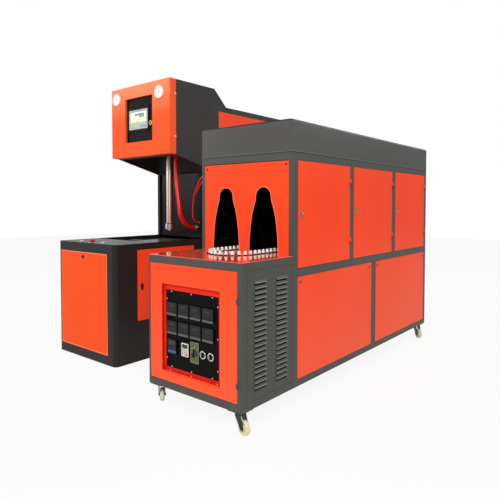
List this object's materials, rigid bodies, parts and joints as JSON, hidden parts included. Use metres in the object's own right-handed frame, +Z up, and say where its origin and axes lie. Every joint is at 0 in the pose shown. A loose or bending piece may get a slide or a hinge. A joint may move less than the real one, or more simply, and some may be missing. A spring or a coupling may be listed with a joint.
{
  "type": "blow moulding machine",
  "caption": "Floor-standing heater with a carrier chain and oven, beside a blowing unit with clamp, mould and overhanging head.",
  "frame": {"origin": "on the floor at the centre of the footprint of the whole machine", "axes": "+Z up, -Y towards the operator's side, +X towards the heater, -X towards the blowing unit"},
  "size_m": [2.0616, 2.4082, 2.067],
  "materials": {
    "heater_grey": "satin grey enamel",
    "hood_grey": "satin grey enamel",
    "orange": "gloss orange-red enamel",
    "table_orange": "high gloss orange-red enamel",
    "charcoal": "satin charcoal enamel",
    "deck_black": "high gloss black enamel",
    "black_steel": "matt black paint",
    "chain_steel": "oiled steel",
    "sprocket_steel": "machined steel",
    "machined_steel": "ground steel",
    "mould_aluminium": "machined aluminium",
    "reflector_aluminium": "bright sheet aluminium",
    "lamp_glass": "frosted quartz",
    "lock_chrome": "bright chrome",
    "rod_chrome": "hard chrome",
    "panel_black": "satin black",
    "instrument_plastic": "dark moulded instrument cases",
    "knob_plastic": "moulded knobs",
    "gauge_white": "white dials in round cases",
    "motor_paint": "cast motor, painted",
    "caster_black": "black pressed steel",
    "caster_cream": "cream polyamide",
    "button_white": "white push button",
    "button_red": "red mushroom button",
    "hose_red": "red hose"
  },
  "bodies": {
    "machine": {"left_frame": "heater_grey", "right_frame": "heater_grey", "cross_rails": "heater_grey", "heater_base": "black_steel", "louvre_panel": "heater_grey", "carrier_chain": "chain_steel", "table_top": "table_orange", "arch_panel": "orange", "side_panels": "orange", "hood": "hood_grey", "chain_support": "black_steel", "gearmotor": "motor_paint", "lamp_reflectors": "reflector_aluminium", "heating_lamps": "lamp_glass", "bed_cabinet": "charcoal", "bed_deck": "deck_black", "column_shell": "charcoal", "column_panels": "orange", "head_box": "charcoal", "head_collar": "orange", "blow_cylinder": "machined_steel", "clamp_frame": "machined_steel", "main_hose": "hose_red", "thin_hose_1": "hose_red", "thin_hose_2": "hose_red"},
    "oven_door_body_1": {"oven_door_1": "orange"},
    "oven_lock_body_1": {"oven_lock_1": "lock_chrome"},
    "oven_door_body_2": {"oven_door_2": "orange"},
    "oven_lock_body_2": {"oven_lock_2": "lock_chrome"},
    "oven_door_body_3": {"oven_door_3": "orange"},
    "oven_lock_body_3": {"oven_lock_3": "lock_chrome"},
    "control_door_body": {"control_door": "orange", "control_panel": "panel_black", "panel_instruments": "instrument_plastic"},
    "main_switch_body": {"main_switch": "knob_plastic"},
    "selector_knob_body_1": {"selector_knob_1": "knob_plastic"},
    "selector_knob_body_2": {"selector_knob_2": "knob_plastic"},
    "caster_front_right": {"caster_fork_front_right": "caster_black"},
    "wheel_front_right": {"caster_wheel_front_right": "caster_cream"},
    "caster_front_left": {"caster_fork_front_left": "caster_black"},
    "wheel_front_left": {"caster_wheel_front_left": "caster_cream"},
    "caster_rear_right": {"caster_fork_rear_right": "caster_black"},
    "wheel_rear_right": {"caster_wheel_rear_right": "caster_cream"},
    "caster_rear_left": {"caster_fork_rear_left": "caster_black"},
    "wheel_rear_left": {"caster_wheel_rear_left": "caster_cream"},
    "drive_sprocket_body": {"drive_sprocket": "sprocket_steel"},
    "idler_sprocket_body": {"idler_sprocket": "sprocket_steel"},
    "bed_front_panel_body": {"bed_front_panel": "orange"},
    "bed_front_lock_body": {"bed_front_lock": "lock_chrome"},
    "bed_side_door_body": {"bed_side_door": "orange"},
    "bed_side_lock_body": {"bed_side_lock": "lock_chrome"},
    "start_button_body_1": {"start_button_1": "button_white"},
    "start_button_body_2": {"start_button_2": "button_white"},
    "emergency_stop_body": {"emergency_stop": "button_red"},
    "head_door_body": {"head_door": "orange", "hmi_panel": "panel_black", "pressure_gauges": "gauge_white"},
    "blow_piston_body": {"blow_piston": "rod_chrome"},
    "stretch_rod_body": {"stretch_rod": "rod_chrome"},
    "moving_mould_body": {"moving_mould": "mould_aluminium"}
  },
  "joints": [
    {"name": "oven_door_hinge_1", "type": "hinge", "parent": "machine", "child": "oven_door_body_1", "pos_m": [1.01354, -0.1296, 1.07], "axis": [0, 0, 1], "range_deg": [0, 110]},
    {"name": "oven_lock_turn_1", "type": "hinge", "parent": "oven_door_body_1", "child": "oven_lock_body_1", "pos_m": [1.00924, -0.67935, 1.067], "axis": [1, 0, 0], "range_deg": [0, 90]},
    {"name": "oven_door_hinge_2", "type": "hinge", "parent": "machine", "child": "oven_door_body_2", "pos_m": [1.01354, 0.5174, 1.07], "axis": [0, 0, 1], "range_deg": [0, 110]},
    {"name": "oven_lock_turn_2", "type": "hinge", "parent": "oven_door_body_2", "child": "oven_lock_body_2", "pos_m": [1.00924, -0.03835, 1.067], "axis": [1, 0, 0], "range_deg": [0, 90]},
    {"name": "oven_door_hinge_3", "type": "hinge", "parent": "machine", "child": "oven_door_body_3", "pos_m": [1.01354, 1.1634, 1.07], "axis": [0, 0, 1], "range_deg": [0, 110]},
    {"name": "oven_lock_turn_3", "type": "hinge", "parent": "oven_door_body_3", "child": "oven_lock_body_3", "pos_m": [1.00924, 0.61465, 1.067], "axis": [1, 0, 0], "range_deg": [0, 90]},
    {"name": "control_door_hinge", "type": "hinge", "parent": "machine", "child": "control_door_body", "pos_m": [0.98249, -1.20015, 0.48], "axis": [0, 0, 1], "range_deg": [0, 100]},
    {"name": "main_switch_turn", "type": "hinge", "parent": "control_door_body", "child": "main_switch_body", "pos_m": [0.67824, -1.18585, 0.348], "axis": [0, 1, 0], "range_deg": [0, 90]},
    {"name": "selector_knob_turn_1", "type": "hinge", "parent": "control_door_body", "child": "selector_knob_body_1", "pos_m": [0.73524, -1.18585, 0.347], "axis": [0, 1, 0], "range_deg": [-45, 45]},
    {"name": "selector_knob_turn_2", "type": "hinge", "parent": "control_door_body", "child": "selector_knob_body_2", "pos_m": [0.79124, -1.18585, 0.347], "axis": [0, 1, 0], "range_deg": [-45, 45]},
    {"name": "caster_swivel_front_right", "type": "hinge", "parent": "machine", "child": "caster_front_right", "pos_m": [0.96124, -1.14785, 0.1], "axis": [0, 0, 1], "continuous": true},
    {"name": "caster_roll_front_right", "type": "hinge", "parent": "caster_front_right", "child": "wheel_front_right", "pos_m": [0.99242, -1.15505, 0.0375], "axis": [-0.225, -0.9744, 0], "continuous": true},
    {"name": "caster_swivel_front_left", "type": "hinge", "parent": "machine", "child": "caster_front_left", "pos_m": [0.38224, -1.14785, 0.1], "axis": [0, 0, 1], "continuous": true},
    {"name": "caster_roll_front_left", "type": "hinge", "parent": "caster_front_left", "child": "wheel_front_left", "pos_m": [0.35922, -1.12562, 0.0375], "axis": [0.6947, 0.7193, 0], "continuous": true},
    {"name": "caster_swivel_rear_right", "type": "hinge", "parent": "machine", "child": "caster_rear_right", "pos_m": [0.96124, 1.15615, 0.1], "axis": [0, 0, 1], "continuous": true},
    {"name": "caster_roll_rear_right", "type": "hinge", "parent": "caster_rear_right", "child": "wheel_rear_right", "pos_m": [0.98575, 1.13558, 0.0375], "axis": [-0.6428, -0.766, 0], "continuous": true},
    {"name": "caster_swivel_rear_left", "type": "hinge", "parent": "machine", "child": "caster_rear_left", "pos_m": [0.38224, 1.15615, 0.1], "axis": [0, 0, 1], "continuous": true},
    {"name": "caster_roll_rear_left", "type": "hinge", "parent": "caster_rear_left", "child": "wheel_rear_left", "pos_m": [0.37668, 1.12464, 0.0375], "axis": [-0.9848, 0.1736, 0], "continuous": true},
    {"name": "drive_sprocket_spin", "type": "hinge", "parent": "machine", "child": "drive_sprocket_body", "pos_m": [0.67174, 0.94441, 0.79], "axis": [0, 0, 1], "continuous": true},
    {"name": "idler_sprocket_spin", "type": "hinge", "parent": "machine", "child": "idler_sprocket_body", "pos_m": [0.67174, -0.86085, 0.79], "axis": [0, 0, 1], "continuous": true},
    {"name": "bed_front_panel_tilt", "type": "hinge", "parent": "machine", "child": "bed_front_panel_body", "pos_m": [-0.67076, -0.95885, 0.0685], "axis": [1, 0, 0], "range_deg": [0, 30]},
    {"name": "bed_front_lock_turn", "type": "hinge", "parent": "bed_front_panel_body", "child": "bed_front_lock_body", "pos_m": [-0.69426, -0.96185, 0.738], "axis": [0, 1, 0], "range_deg": [0, 90]},
    {"name": "bed_side_door_hinge", "type": "hinge", "parent": "machine", "child": "bed_side_door_body", "pos_m": [-0.30646, -0.2136, 0.54], "axis": [0, 0, 1], "range_deg": [0, 110]},
    {"name": "bed_side_lock_turn", "type": "hinge", "parent": "bed_side_door_body", "child": "bed_side_lock_body", "pos_m": [-0.31076, -0.73035, 0.532], "axis": [1, 0, 0], "range_deg": [0, 90]},
    {"name": "start_button_press_1", "type": "slide", "parent": "machine", "child": "start_button_body_1", "axis": [0, 0, -1], "range_m": [0, 0.004], "stiffness_N_per_m": 600},
    {"name": "start_button_press_2", "type": "slide", "parent": "machine", "child": "start_button_body_2", "axis": [0, 0, -1], "range_m": [0, 0.004], "stiffness_N_per_m": 600},
    {"name": "emergency_stop_press", "type": "slide", "parent": "machine", "child": "emergency_stop_body", "axis": [0, 0, -1], "range_m": [0, 0.005], "stiffness_N_per_m": 900},
    {"name": "head_door_hinge", "type": "hinge", "parent": "machine", "child": "head_door_body", "pos_m": [-0.30646, -0.46085, 1.8], "axis": [0, 0, 1], "range_deg": [0, 110]},
    {"name": "blow_piston_stroke", "type": "slide", "parent": "machine", "child": "blow_piston_body", "axis": [0, 0, -1], "range_m": [0, 0.084]},
    {"name": "stretch_rod_stroke", "type": "slide", "parent": "blow_piston_body", "child": "stretch_rod_body", "axis": [0, 0, -1], "range_m": [0, 0.34]},
    {"name": "moving_mould_stroke", "type": "slide", "parent": "machine", "child": "moving_mould_body", "axis": [0, -1, 0], "range_m": [0, 0.23]}
  ],
  "couplings": [
    {"joint": "idler_sprocket_spin", "follows": "drive_sprocket_spin", "ratio": 1}
  ]
}
